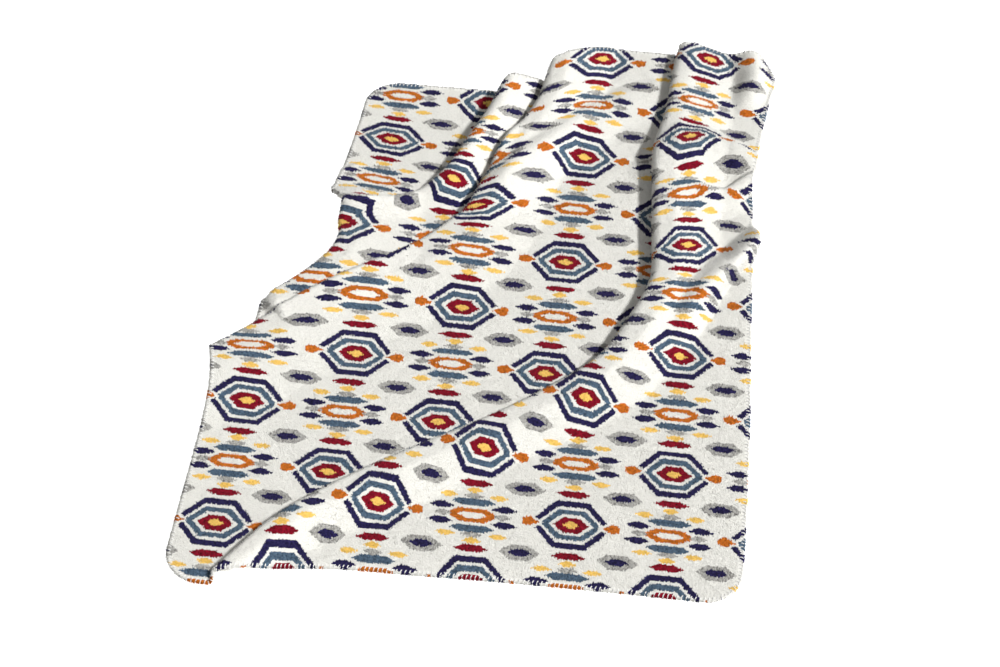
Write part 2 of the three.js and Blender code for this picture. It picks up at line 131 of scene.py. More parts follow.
# columns: how far in from the edge, how far up, how far along
STITCH_PATH = [
    (STITCH_DEPTH, STITCH_REACH - 1.0, 2.2),
    (0.6 * STITCH_DEPTH, STITCH_REACH + 0.7, 1.4),
    (1.0, STITCH_REACH, 0.4),
    (-2.4, 0.4, 0.0),
    (-0.8, 1.2 - STITCH_REACH, -0.6),
    (0.7 * STITCH_DEPTH, 1.0 - STITCH_REACH, -1.6),
]

# Tufts and stitches stay this far above the surface that the throw lies on
TUFT_CLEARANCE = 0.2
STITCH_CLEARANCE = 0.1

# A fold's rows run along the edge of its crest, as it shows from above.
# columns: x, y, rise, slope of its back in degrees, level shelf behind the crest
# Its pulls say how far the moved side is drawn, by the place along the axis.
# columns: place, pull in x, pull in y
LONG_FOLD = {
    "moves": "right",
    "axis": (0.5, 0.866),
    "rows": [
        (-600, -720, 20, 34, 10),
        (-540, -655, 26, 32, 15),
        (-465, -575, 32, 26, 20),
        (-370, -495, 30, 22, 25),
        (-210, -395, 30, 20, 30),
        (-30, -296, 30, 20, 30),
        (113, -205, 32, 20, 30),
        (225, -115, 36, 22, 30),
        (305, 20, 42, 24, 30),
        (345, 123, 46, 26, 30),
        (353, 276, 48, 24, 30),
        (358, 378, 48, 24, 30),
        (361, 465, 46, 23, 30),
        (374, 569, 44, 22, 25),
        (399, 660, 42, 21, 20),
        (420, 791, 40, 20, 15),
        (441, 900, 38, 20, 15),
        (455, 1000, 38, 20, 15),
    ],
    "pulls": [
        (-980, -5, 10),
        (-930, -10, 35),
        (-880, -20, 80),
        (-840, -32, 92),
        (-762, -56, 98),
        (-700, -78, 104),
        (-440, -84, 112),
        (-270, -90, 106),
        (-70, -105, 106),
        (170, -122, 108),
        (420, -150, 108),
        (620, -182, 88),
        (850, -168, 50),
        (1120, -150, 20),
    ],
}

HEM_FOLD = {
    "moves": "left",
    "axis": (0.75, 0.66),
    "rows": [
        (-760, -150, 22, 9, 60),
        (-640, -85, 22, 9, 60),
        (-548, -20, 22, 9, 60),
        (-454, 55, 22, 9, 60),
        (-342, 132, 22, 9, 60),
        (-236, 200, 22, 9, 60),
        (-140, 275, 24, 10, 55),
        (-60, 365, 28, 13, 40),
        (-5, 480, 36, 19, 30),
        (35, 580, 42, 22, 25),
        (80, 660, 44, 24, 20),
        (115, 755, 44, 24, 20),
        (142, 870, 44, 24, 20),
        (165, 980, 44, 24, 20),
    ],
    "pulls": [
        (-600, 70, -140),
        (-440, 50, -146),
        (-360, 20, -150),
        (-200, 40, -150),
        (0, 98, -150),
        (150, 104, -150),
        (450, 104, -155),
        (750, 106, -158),
    ],
}

# Half-way up the left side the margin is turned under. Its pull is square to the line.
# columns: x, y, rise, slope of its back in degrees, level shelf, pull
MARGIN_FOLD = {
    "moves": "left",
    "rows": [
        (-640, 0, 10, 14, 20, 0),
        (-580, 45, 12, 14, 20, 0),
        (-522, 84, 16, 14, 20, 2),
        (-460, 124, 20, 12, 30, 64),
        (-402, 180, 22, 10, 35, 102),
        (-366, 232, 22, 9, 40, 115),
        (-352, 280, 22, 9, 40, 116),
        (-360, 328, 22, 9, 40, 106),
        (-382, 372, 20, 9, 35, 78),
        (-412, 414, 16, 9, 30, 44),
        (-458, 462, 12, 9, 30, 0),
    ],
}

CORNER_FOLD = {
    "moves": "left",
    "axis": (0.6, 0.8),
    "rows": [
        (-520, 380, 18, 24, 0),
        (-362, 385, 18, 24, 0),
        (-316, 382, 15, 24, 0),
        (-252, 385, 18, 24, 0),
        (-190, 405, 24, 26, 0),
        (-135, 450, 36, 28, 0),
        (-88, 530, 44, 32, 0),
        (-33, 655, 50, 34, 0),
        (2, 775, 48, 34, 0),
        (30, 900, 48, 34, 0),
    ],
    "pulls": [
        (0, 40, -4),
        (180, 42, -6),
        (450, 42, -66),
        (500, 41, -62),
        (620, 38, -50),
        (680, 30, -50),
        (900, 28, -52),
    ],
}

FOLDS = [LONG_FOLD, HEM_FOLD, MARGIN_FOLD, CORNER_FOLD]

# Soft rolls, which rise without drawing the cloth in.
# columns: x, y, rise, width of its left side, width of its right side, lean to the left
ROLLS = [
    [
        (-520, 390, 14, 50, 60, 0),
        (-362, 390, 14, 50, 60, 0),
        (-316, 383, 14, 50, 60, 0),
        (-252, 385, 5, 55, 60, 0),
        (-190, 405, 0, 55, 60, 0),
        (-150, 415, 0, 50, 60, 0),
    ],
    [
        (-80, 330, 0, 45, 90, 0),
        (-5, 415, 12, 45, 90, 0),
        (64, 495, 17, 45, 90, 0),
        (169, 615, 17, 45, 90, 0),
        (264, 715, 12, 45, 90, 0),
        (344, 760, 5, 45, 90, 0),
        (420, 790, 0, 45, 90, 0),
    ],
    [
        (300, 470, 0, 50, 70, 0),
        (353, 500, 12, 55, 80, 0.3),
        (400, 520, 20, 90, 100, 0.1),
        (450, 522, 34, 105, 110, 0.2),
        (490, 522, 42, 105, 110, 0.3),
        (530, 505, 46, 85, 100, 0.4),
        (575, 485, 38, 65, 85, 0.4),
        (640, 470, 22, 55, 75, 0.3),
    ],
    [
        (620, 330, 28, 36, 40, 0.3),
        (570, 268, 38, 36, 40, 0.5),
        (535, 228, 40, 36, 40, 0.6),
        (490, 168, 36, 36, 40, 0.6),
        (450, 95, 26, 38, 40, 0.4),
        (415, 20, 12, 40, 40, 0.2),
        (390, -60, 0, 40, 40, 0),
    ],
    [
        (600, 960, 30, 50, 60, 0.2),
        (590, 855, 30, 50, 60, 0.2),
        (592, 800, 30, 50, 50, 0.2),
        (578, 740, 20, 45, 45, 0.2),
        (560, 680, 0, 45, 45, 0),
    ],
    [
        (400, 400, 0, 30, 60, 0),
        (447, 405, 12, 28, 60, 0.4),
        (480, 392, 20, 28, 60, 0.5),
        (520, 400, 24, 28, 60, 0.5),
        (560, 430, 20, 28, 60, 0.4),
        (620, 460, 14, 28, 60, 0),
    ],
]

# The yarns, as linear colours. The thread has darker and lighter places.
IVORY = (0.84, 0.83, 0.78)
NAVY = (0.022, 0.018, 0.075)
SLATE = (0.085, 0.132, 0.190)
GREY = (0.50, 0.49, 0.46)
RED = (0.235, 0.006, 0.020)
ORANGE = (0.560, 0.160, 0.020)
GOLD = (0.870, 0.580, 0.150)
THREAD = ((0.72, 0.71, 0.69), (0.9, 0.9, 0.88))

# Scales of noise, in grains per metre of cloth
HEATHER_SCALE = 900
PATCH_SCALE = 190
BACK_SCALE = 300
THREAD_SCALE = 1500

# The grey yarn is heathered: where noise is above this level, it has this share of its light
HEATHER_LEVEL = 0.52
HEATHER_SHADE = 0.6

# Painted shade on the pile: its tone at the root of a tuft, where shade falls among the tufts,
# and how much lighter its tip is
PAINTED_SHADE_ROOT_TONE = 0.66
PAINTED_SHADE_TIP_RISE = 0.32

# How uneven the tone of a black yarn is, and how much of that a white yarn loses
UNEVENNESS = 0.68
LOSS_IN_WHITE = 0.75

# How much more the tone changes from patch to patch than from tuft to tuft
PATCH_WEIGHT = 3

# How matt the yarn is
ROUGHNESS = 0.95
THREAD_ROUGHNESS = 0.8
SPECULAR_LEVEL = 0.05
SHEEN = 0.06
SHEEN_ROUGHNESS = 0.6

# The plain back: its ribs, and how light its darker places are
RIB_WIDTH = 3.2
RIB_DEPTH = 1.0
RIB_STRENGTH = 0.4
BACK_SHADE = 0.86

# The knitted design stands in columns, each a half drop from the next. It steps by the
# stitch, which is a cell wide and high, and its outlines have teeth.
COLUMN_WIDTH = 206.0
DROP = 340.0
SHIFT = (18, 12)
CELL = (3.2, 2.6)
TOOTH = (2.6, 5.2)

# Its shapes are mirrored left and right, and up and down, and painted in this order.
# columns: across, up, level part, half width, half height, yarn
MOTIF = [
    (0, 0, 34, 54, 64, NAVY),
    (0, 0, 29, 43, 49, IVORY),
    (0, 0, 27, 37, 41, SLATE),
    (0, 0, 22, 26, 27, IVORY),
    (0, 0, 16, 22, 21, RED),
    (0, 0, 4, 14, 9, GOLD),
    (90, 0, 6, 26, 20, IVORY),
    (90, 0, 4, 20, 12, ORANGE),
    (0, 84, 18, 20, 9, RED),
    (0, 103, 4, 16, 8, GOLD),
    (103, 85, 20, 24, 19, GREY),
    (103, 85, 10, 16, 9, NAVY),
    (0, 170, 26, 30, 18, ORANGE),
    (0, 170, 16, 16, 8, IVORY),
    (0, 135, 28, 20, 9, SLATE),
    (0, 119, 8, 16, 7, GREY),
    (66, 150, 8, 20, 9, NAVY),
    (62, 170, 4, 16, 8, GREY),
    (54, 119, 6, 16, 7, GOLD),
]

# The floor, in metres, and the light
FLOOR_REACH = 30.0
FLOOR_DEPTH = 0.0005
FLOOR_GREY = 0.9
FLOOR_GLOW = 0.9
SUN_DIRECTION = (-0.60, 0.28, -0.75)
SUN_ANGLE = math.radians(5)
SUN_STRENGTH = 3.5
SURROUND_STRENGTH = 0.42

# The camera looks at this place on the floor, in metres, from this far
CAMERA_TARGET = (0.0180, -0.0873, 0.0)
CAMERA_ELEVATION = math.radians(46.5)
CAMERA_DISTANCE = 7.0
CAMERA_LENS = 115.8
CAMERA_SENSOR = 36


def ease(t):
    """Runs smoothly from 0 to 1 as t does."""
    k = np.clip(t, 0, 1)
    return k * k * (3 - 2 * k)


def unit(vectors):
    """The vectors' directions, each with a length of 1."""
    return vectors / np.linalg.norm(vectors, axis=-1)[..., None]


def smooth_rows(rows):
    """A smooth line through the rows, with stations along it."""
    rows = np.array(rows, float)
    line = []
    for i in range(len(rows) - 1):
        before = rows[max(i - 1, 0)]
        start = rows[i]
        end = rows[i + 1]
        after = rows[min(i + 2, len(rows) - 1)]
        count = max(2, int(np.hypot(*(end - start)[:2]) / STATION_STEP))
        for k in range(count):
            t = k / count
            line.append(
                (2 * t**3 - 3 * t**2 + 1) * start
                + (t**3 - 2 * t**2 + t) * (end - before) / 2
                + (-2 * t**3 + 3 * t**2) * end
                + (t**3 - t**2) * (after - start) / 2
            )
    line.append(rows[-1])
    return np.array(line)


def directions(line):
    """Unit direction along the line at each station."""
    step = np.empty((len(line), 2))
    step[1:-1] = line[2:, :2] - line[:-2, :2]
    step[0] = line[1, :2] - line[0, :2]
    step[-1] = line[-1, :2] - line[-2, :2]
    return unit(step)


def nearest_on(line, xy):
    """The nearest place on a line: its station, and the distance, + to the right."""
    best = np.full(len(xy), np.inf)
    place = np.zeros(len(xy))
    side = np.ones(len(xy))
    for i in range(len(line) - 1):
        dx, dy = line[i + 1, :2] - line[i, :2]
        wx = xy[:, 0] - line[i, 0]
        wy = xy[:, 1] - line[i, 1]
        t = np.clip((wx * dx + wy * dy) / (dx * dx + dy * dy), 0, 1)
        square = (wx - t * dx) ** 2 + (wy - t * dy) ** 2
        closer = square < best
        best[closer] = square[closer]
        place[closer] = i + t[closer]
        side[closer] = np.where(dx * wy - dy * wx > 0, -1, 1)[closer]
    return place, side * np.sqrt(best)


def at_place(values, place):
    """Values of the stations, between them by place."""
    i = np.minimum(place.astype(int), len(values) - 2)
    t = place - i
    if values.ndim > 1:
        t = t[:, None]
    return values[i] * (1 - t) + values[i + 1] * t


def lee_angle(gather, rise, bend):
    """The angle at which the lee must stand to take up the cloth that the pull frees."""
    low = np.zeros(len(gather))
    high = np.full(len(gather), STEEPEST_LEE)
    for _ in range(ANGLE_STEPS):
        angle = (low + high) / 2
        half = np.tan(angle / 2)
        over = rise * half + bend * (angle - 2 * half) > gather
        high = np.where(over, angle, high)
        low = np.where(over, low, angle)
    return (low + high) / 2


def straight_part(rise, bend, angle):
    """The length of straight cloth between two bends that rise to a height together."""
    length = np.maximum(rise - bend * (1 - np.cos(angle)), 0) / np.maximum(np.sin(angle), 1e-4)
    return np.where(angle < 1e-3, 0, length)


def pull_table(fold):
    """A fold's pull as a smooth function of place."""
    rows = np.array(fold["pulls"], float)
    places = np.linspace(rows[0, 0], rows[-1, 0], PULL_PLACES)
    table = np.stack([np.interp(places, rows[:, 0], rows[:, c]) for c in (1, 2)], 1)
    for _ in range(PULL_EASINGS):
        table[1:-1] = (table[:-2] + 2 * table[1:-1] + table[2:]) / 4
    axis = np.array(fold["axis"])

    def pull_at(xy):
        along = xy @ axis
        return np.stack([np.interp(along, places, table[:, c]) for c in (0, 1)], 1)

    return pull_at


def prepare_fold(fold):
    """Works out a fold's cross-section at each station of its line."""
    line = smooth_rows(fold["rows"])
    tangent = directions(line)
    normal = np.stack([tangent[:, 1], -tangent[:, 0]], 1)
    right = fold["moves"] == "right"
    if "pulls" in fold:
        pull_at = pull_table(fold)
        pull = pull_at(line[:, :2] + normal * (100 if right else -100))
    else:
        pull_at = None
        pull = normal * line[:, 5:6]
    across = (pull * normal).sum(1)
    gather = np.maximum(-across if right else across, 0)
    back = np.radians(line[:, 3])
    rise = np.maximum(np.minimum(line[:, 2], gather / (2 * np.tan(back / 2))), 0.01)
    bend = np.minimum(FOOT_RADIUS + CREST_RADIUS, 0.49 * rise)
    foot = np.minimum(FOOT_RADIUS, bend / 2)
    brow = np.minimum(2 * BROW_RADIUS, 0.9 * rise / np.maximum(1 - np.cos(back), 1e-6))
    taken = rise * np.tan(back / 2) + brow * (back - 2 * np.tan(back / 2))
    lee = lee_angle(np.maximum(gather - taken, 0), rise, bend)
    stations = {
        "normal": normal,
        "pull": pull,
        "slide": (pull * tangent).sum(1),
        "spread": across + (gather if right else -gather),
        "lee": lee,
        "back": back,
        "foot": foot,
        "crest": bend - foot,
        "face": straight_part(rise, bend, lee),
        "level": np.maximum(line[:, 4], 0),
        "brow": brow / 2,
        "slope": straight_part(rise, brow, back),
    }
    return line, stations, pull_at, right


def section_parts(s):
    """The cross-section as arcs and straight parts: length, angle at its start and end."""
    none = np.zeros_like(s["lee"])
    return [
        (s["foot"] * s["lee"], none, s["lee"]),
        (s["face"], s["lee"], s["lee"]),
        (s["crest"] * s["lee"], s["lee"], none),
        (s["level"], none, none),
        (s["brow"] * s["back"], none, -s["back"]),
        (s["slope"], -s["back"], -s["back"]),
        (s["brow"] * s["back"], -s["back"], none),
    ]


def part_advance(length, start, end):
    """How far a part of the section goes along and up."""
    turn = end - start
    bent = np.abs(turn) > 1e-6
    radius = length / np.where(bent, turn, 1)
    along = np.where(bent, radius * (np.sin(end) - np.sin(start)), length * np.cos(start))
    up = np.where(bent, radius * (np.cos(start) - np.cos(end)), length * np.sin(start))
    return along, up


def section_size(parts):
    """The section's length, how far it goes along, and the furthest that it turns back."""
    length = 0
    advance = 0
    lowest = 0
    for part, start, end in parts:
        length = length + part
        advance = advance + part_advance(part, start, end)[0]
        lowest = np.minimum(lowest, advance)
    return length, advance, lowest


def section_at(parts, distance):
    """Where the cloth has got to, a length of it into the section."""
    along = np.zeros_like(distance)
    up = np.zeros_like(distance)
    left = distance.copy()
    for length, start, end in parts:
        used = np.clip(left, 0, length)
        share = used / np.maximum(length, 1e-9)
        x, z = part_advance(used, start, start + (end - start) * share)
        along += x
        up += z
        left = left - length
    return along, up


def apply_fold(xy, z, fold):
    """Draws one side of the sheet in, and raises the cloth of the fold between."""
    line, stations, pull_at, right = fold
    place, distance = nearest_on(line, xy)
    s = {name: at_place(values, place) for name, values in stations.items()}
    normal = unit(s["normal"])
    parts = section_parts(s)
    length, advance, lowest = section_size(parts)
    begin = -lowest if right else advance - lowest - length
    inside = distance - begin
    past = inside - length if right else -inside
    moved = past >= 0
    own = s["pull"] if pull_at is None else pull_at(xy)
    k = ease(past / SETTLE)[:, None]
    drawn = s["pull"] * (1 - k) + own * k

    within = (inside > 0) & (inside < length)
    along, up = section_at(parts, np.clip(inside, 0, length))
    share = ease(inside / length)
    if not right:
        share = 1 - share
    start = begin if right else begin + length - advance
    shift = start + along - distance + s["spread"] * share
    slide = s["slide"] * share
    tangent = np.stack([-normal[:, 1], normal[:, 0]], 1)
    bent = shift[:, None] * normal + slide[:, None] * tangent
    xy = xy + np.where(moved[:, None], drawn, np.where(within[:, None], bent, 0))
    return xy, z + np.where(within & ~moved, up, 0)


def apply_roll(xy, z, rows):
    """Raises a soft roll in the sheet."""
    line = smooth_rows(rows)
    place, distance = nearest_on(line, xy)
    values = at_place(line, place)
    width = np.where(distance < 0, values[:, 3], values[:, 4])
    rise = np.maximum(values[:, 2], 0) * np.maximum(1 - (distance / width) ** 2, 0) ** 2
    tangent = at_place(directions(line), place)
    lean = (values[:, 5] * rise)[:, None]
    return xy + lean * np.stack([-tangent[:, 1], tangent[:, 0]], 1), z + rise


def round_corners(u, v):
    """Moves places near the corners of the full rectangle onto round corners."""
    centre_u = np.clip(u, CORNER_RADIUS, WIDTH - CORNER_RADIUS)
    centre_v = np.clip(v, CORNER_RADIUS, LENGTH - CORNER_RADIUS)
    a = (u - centre_u) / CORNER_RADIUS
    b = (v - centre_v) / CORNER_RADIUS
    round_u = centre_u + CORNER_RADIUS * a * np.sqrt(1 - b * b / 2)
    round_v = centre_v + CORNER_RADIUS * b * np.sqrt(1 - a * a / 2)
    return round_u, round_v


def lay(u, v):
    """Brings places on the flat throw to where they lie."""
    x = u - WIDTH / 2
    y = v - LENGTH / 2
    cos = math.cos(TURN)
    sin = math.sin(TURN)
    xy = np.stack([cos * x + sin * y, cos * y - sin * x], 1) + MIDDLE
    z = np.zeros(len(xy))
    for fold in FOLDS:
        xy, z = apply_fold(xy, z, prepare_fold(fold))
    for rows in ROLLS:
        xy, z = apply_roll(xy, z, rows)
    return np.concatenate([xy - ORIGIN, z[:, None]], 1)


class Sheet:
    """The middle of the cloth as a grid of points, with normals and flat places."""

    def __init__(self, columns, rows):
        self.columns = columns
        self.rows = rows
        u, v = np.meshgrid(np.linspace(0, WIDTH, columns), np.linspace(0, LENGTH, rows))
        u, v = round_corners(u.ravel(), v.ravel())
        self.flat = np.stack([u, v], 1).reshape(rows, columns, 2)
        points = lay(u, v).reshape(rows, columns, 3)
        across = np.gradient(points, axis=1)
        up = np.gradient(points, axis=0)
        normals = np.cross(across, up)
        normals /= np.maximum(np.linalg.norm(normals, axis=2), 1e-9)[..., None]
        self.points = points
        self.normals = normals

    def side(self, height):
        """The points moved along their normals, over the surface that the sheet lies on."""
        moved = self.points + height * self.normals
        moved[..., 2] = np.maximum(moved[..., 2] + THICKNESS / 2, 0)
        return moved

    def sample(self, grid, i, j):
        """A grid's values between its points."""
        column = np.clip(i.astype(int), 0, self.columns - 2)
        row = np.clip(j.astype(int), 0, self.rows - 2)
        a = (i - column)[:, None]
        b = (j - row)[:, None]
        return (
            grid[row, column] * (1 - a) * (1 - b)
            + grid[row, column + 1] * a * (1 - b)
            + grid[row + 1, column] * (1 - a) * b
            + grid[row + 1, column + 1] * a * b
        )


def make_mesh(name, points, faces, material, maps, normals=None):
    """An object from arrays of points, in millimetres, and of faces.

    Each UV map has a value for each point. The map called flat holds its place on the flat
    throw, in metres. The one called yarn holds a tone for each tuft, and how far up the tuft
    the point is, which sets the painted shade at its root. The one called OFBake spreads the
    faces out for baking. Where normals are given, the light falls by them.
    """
    mesh = bpy.data.meshes.new(name)
    size = faces.shape[1]
    mesh.vertices.add(len(points))
    mesh.vertices.foreach_set("co", (points / 1000).astype(np.float32).ravel())
    mesh.loops.add(faces.size)
    mesh.loops.foreach_set("vertex_index", faces.astype(np.int32).ravel())
    mesh.polygons.add(len(faces))
    mesh.polygons.foreach_set("loop_start", np.arange(0, faces.size, size, dtype=np.int32))
    mesh.polygons.foreach_set("use_smooth", np.ones(len(faces), bool))
    for label, values in maps.items():
        layer = mesh.uv_layers.new(name=label)
        layer.data.foreach_set("uv", values[faces.ravel()].astype(np.float32).ravel())
    mesh.update()
    mesh.validate()
    if normals is not None:
        mesh.normals_split_custom_set_from_vertices(normals)
    mesh.materials.append(material)
    piece = bpy.data.objects.new(name, mesh)
    bpy.context.scene.collection.objects.link(piece)
    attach(piece, "root")
    return piece


def rim_indices(rows, columns):
    """The grid's outer points in order, counter-clockwise on the flat throw."""
    index = np.arange(rows * columns).reshape(rows, columns)
    sides = [index[0, :-1], index[:-1, -1], index[-1, :0:-1], index[:0:-1, 0]]
    return np.concatenate(sides)


def make_cloth(sheet, face, back):
    """The cloth itself: an upper face, a lower face of the plain back, and a rim."""
    rows = sheet.rows
    columns = sheet.columns
    count = rows * columns
    index = np.arange(count).reshape(rows, columns)
    corners = (index[:-1, :-1], index[:-1, 1:], index[1:, 1:], index[1:, :-1])
    quads = np.stack(corners, -1).reshape(-1, 4)
    rim = rim_indices(rows, columns)
    following = np.roll(rim, -1)
    wall = np.stack([rim, rim + count, following + count, following], 1)
    faces = np.concatenate([quads, quads[:, ::-1] + count, wall])
    points = np.concatenate([
        sheet.side(THICKNESS / 2).reshape(-1, 3),
        sheet.side(-THICKNESS / 2).reshape(-1, 3),
    ])
    flat = np.concatenate([sheet.flat.reshape(-1, 2)] * 2)
    side_by_side = flat / (CLOTH_BAKE_WIDTH * WIDTH, LENGTH)
    side_by_side[count:, 0] += 0.5
    maps = {
        "flat": flat / 1000,
        # The cloth under the pile has the painted shade of half-way up a tuft
        "yarn": np.full((2 * count, 2), 0.5),
        "OFBake": side_by_side,
    }
    cloth = make_mesh("cloth", points, faces, face, maps)
    cloth.data.materials.append(back)
    lower = np.zeros(len(faces), np.int32)
    lower[len(quads):2 * len(quads)] = 1
    cloth.data.polygons.foreach_set("material_index", lower)
    return cloth


def pressed_share(across, up):
    """The share of its height that the pile keeps, by how far it is from the hem."""
    inward = np.minimum(
        np.minimum(across, 1 - across) * WIDTH,
        np.minimum(up, 1 - up) * LENGTH,
    )
    return PRESSED_HEIGHT + (1 - PRESSED_HEIGHT) * ease(inward / PRESSED_WIDTH - 0.5)


def make_pile(sheet, material):
    """Short tufts all over the cloth's face, in strips up the throw.

    Every second row of tufts is moved sideways by half a space.
    """
    pieces = []
    rng = np.random.default_rng(SEED)
    across = int(WIDTH / TUFT_SPACING)
    up = int(LENGTH / TUFT_SPACING)
    face = sheet.side(THICKNESS / 2)
    for strip in range(TUFT_STRIPS):
        rows = np.arange(up * strip // TUFT_STRIPS, up * (strip + 1) // TUFT_STRIPS)
        i, j = np.meshgrid(np.arange(across), rows)
        offset = 0.5 * (j.ravel() % 2) - 0.25
        i = i.ravel() + 0.5 + rng.uniform(-TUFT_STRAY, TUFT_STRAY, i.size) + offset
        j = j.ravel() + 0.5 + rng.uniform(-TUFT_STRAY, TUFT_STRAY, j.size)
        column = i / across * (sheet.columns - 1)
        row = j / up * (sheet.rows - 1)
        root = sheet.sample(face, column, row)
        normal = sheet.sample(sheet.normals, column, row)
        flat = sheet.sample(sheet.flat, column, row)
        height = pressed_share(i / across, j / up) * TUFT_HEIGHT
        tufts = make_tufts(f"pile_{strip + 1}", root, normal, flat, height, rng, material)
        pieces.append(tufts)
    return pieces


def tuft_maps(flat, bake, tone):
    """The UV maps of tufts of four points, of which the last is the tip."""
    low = flat.min(0) - BAKE_MARGIN
    high = flat.max(0) + BAKE_MARGIN
    yarn = np.zeros((len(flat), 4, 2))
    yarn[..., 0] = tone[:, None]
    # Only the tip is at height 1, where the painted root shade is lightest
    yarn[:, 3, 1] = 1
    return {
        "flat": np.repeat(flat, 4, axis=0) / 1000,
        "yarn": yarn.reshape(-1, 2),
        "OFBake": (bake.reshape(-1, 2) - low) / (high - low),
    }


def make_tufts(name, root, outward, flat, height, rng, material):
    """One three-sided tuft at each root, leaning a little its own way."""
    count = len(root)
    normal = unit(outward)
    side = unit(np.cross(normal, TUFT_GUIDE))
    other = np.cross(normal, side)
    turn = rng.uniform(0, 2 * math.pi, count)
    height = height * rng.uniform(*HEIGHT_SHARES, count)
    points = np.empty((count, 4, 3))
    shade = np.empty((count, 4, 3))
    bake = np.empty((count, 4, 2))
    for corner in range(3):
        angle = turn + corner * 2 * math.pi / 3
        a = (TUFT_RADIUS * np.cos(angle))[:, None]
        b = (TUFT_RADIUS * np.sin(angle))[:, None]
        points[:, corner] = root + a * side + b * other - TUFT_ROOT_DEPTH * normal
        shade[:, corner] = normal + TUFT_ROUNDNESS * (a * side + b * other) / TUFT_RADIUS
        bake[:, corner] = flat + TUFT_BAKE_SIZE * np.concatenate([a, b], 1)
    lean = rng.normal(0, TUFT_LEAN, (count, 2))
    tip = lean[:, :1] * side + lean[:, 1:] * other
    points[:, 3] = root + normal * height[:, None] + tip
    points[..., 2] = np.maximum(points[..., 2], TUFT_CLEARANCE)
    shade[:, 3] = normal + TUFT_ROUNDNESS * tip / TUFT_HEIGHT
    bake[:, 3] = flat
    maps = tuft_maps(flat, bake, rng.uniform(0, 1, count))
    first = 4 * np.arange(count)[:, None]
    faces = np.concatenate([first + (0, 1, 3), first + (1, 2, 3), first + (2, 0, 3)])
    normals = unit(shade).reshape(-1, 3)
    return make_mesh(name, points.reshape(-1, 3), faces, material, maps, normals)


def rim_frames(sheet, spacing):
    """Evenly spaced places round the rim, with the ways in, up and along there."""
    rim = rim_indices(sheet.rows, sheet.columns)
    middle = sheet.side(0)
    row, column = np.divmod(rim, sheet.columns)
    row = np.clip(row, 1, sheet.rows - 2)
    column = np.clip(column, 1, sheet.columns - 2)
    edge = middle.reshape(-1, 3)[rim]
    inward = middle[row, column] - edge
    normal = sheet.normals.reshape(-1, 3)[rim]
    flat = sheet.flat.reshape(-1, 2)[rim]
    steps = np.linalg.norm(np.roll(flat, -1, axis=0) - flat, axis=1)
    run = np.concatenate([[0], np.cumsum(steps)])
    places = np.linspace(0, run[-1], int(run[-1] / spacing), endpoint=False)

    def along_rim(values):
        closed = np.concatenate([values, values[:1]])
        columns = [np.interp(places, run, closed[:, c]) for c in range(closed.shape[1])]
        return np.stack(columns, 1)

    edge = along_rim(edge)
    inward = along_rim(inward)
    normal = unit(along_rim(normal))
    along = unit(np.roll(edge, -1, axis=0) - np.roll(edge, 1, axis=0))
    straight_in = unit(np.cross(normal, along))
    inward = straight_in * np.sign((straight_in * inward).sum(1))[:, None]
    return edge, inward, normal, along, along_rim(flat)


def make_hem_pile(sheet, material):
    """Tufts that stand out sideways from the hem, so that its edge is soft."""
    edge, inward, normal, _, flat = rim_frames(sheet, HEM_TUFT_SPACING)
    rng = np.random.default_rng(SEED + 1)
    places = []
    outward = []
    for level in HEM_TUFT_LEVELS:
        stray = rng.uniform(-HEM_TUFT_STRAY, HEM_TUFT_STRAY, (len(edge), 3))
        places.append(edge + level * normal + stray)
        outward.append(-inward + level / THICKNESS * normal)
    roots = np.concatenate(places)
    flats = np.concatenate([flat] * len(HEM_TUFT_LEVELS))
    outward = np.concatenate(outward)
    return make_tufts("hem_pile", roots, outward, flats, HEM_TUFT_HEIGHT, rng, material)


def stitch_rings(sheet):
    """The thread's rings of points: for each stitch, at each place of its path."""
    edge, inward, normal, along, flat = rim_frames(sheet, STITCH_SPACING)
    path = np.array(STITCH_PATH)
    points = np.empty((len(edge), len(path), STITCH_SIDES, 3))
    for k, (inside, up, on) in enumerate(path):
        ahead = path[min(k + 1, len(path) - 1)] - path[max(k - 1, 0)]
        centre = edge + inside * inward + up * normal + on * along
        way = unit(ahead[0] * inward + ahead[1] * normal + ahead[2] * along)
        first = unit(np.cross(way, along))
        second = np.cross(way, first)
        for corner in range(STITCH_SIDES):
            angle = 2 * math.pi * corner / STITCH_SIDES
            offset = math.cos(angle) * first + math.sin(angle) * second
            points[:, k, corner] = centre + STITCH_RADIUS * offset
    points[..., 2] = np.maximum(points[..., 2], STITCH_CLEARANCE)
    return points, flat


def make_stitches(sheet, material):
    """The overcast stitch: slanted loops of white thread over the hem."""
    points, flat = stitch_rings(sheet)
    count, rings, sides, _ = points.shape
    index = np.arange(rings * sides).reshape(rings, sides)
    following = np.roll(index, -1, axis=1)
    corners = (index[:-1], following[:-1], following[1:], index[1:])
    loop = np.stack(corners, -1).reshape(-1, 4)
    starts = np.arange(count)[:, None, None] * (rings * sides)
    faces = (loop[None] + starts).reshape(-1, 4)
    maps = {"flat": np.repeat(flat, rings * sides, axis=0) / 1000}
    return make_mesh("stitches", points.reshape(-1, 3), faces, material, maps)


class Field:
    """A number over the surface, worked out by shader nodes."""

    def __init__(self, tree, socket):
        self.tree = tree
        self.socket = socket

    def math(self, operation, other=None):
        """The field after one step of a Math node, with another field or a number."""
        node = self.tree.nodes.new("ShaderNodeMath")
        node.operation = operation
        self.tree.links.new(self.socket, node.inputs[0])
        if isinstance(other, Field):
            self.tree.links.new(other.socket, node.inputs[1])
        elif other is not None:
            node.inputs[1].default_value = other
        return Field(self.tree, node.outputs[0])

    def __add__(self, other):
        return self.math("ADD", other)

    def __sub__(self, other):
        return self.math("SUBTRACT", other)

    def __mul__(self, other):
        return self.math("MULTIPLY", other)

    def __truediv__(self, other):
        return self.math("DIVIDE", other)

    def snapped(self, step):
        """The middle of the step that the number is in."""
        return ((self / step).math("FLOOR") + 0.5) * step


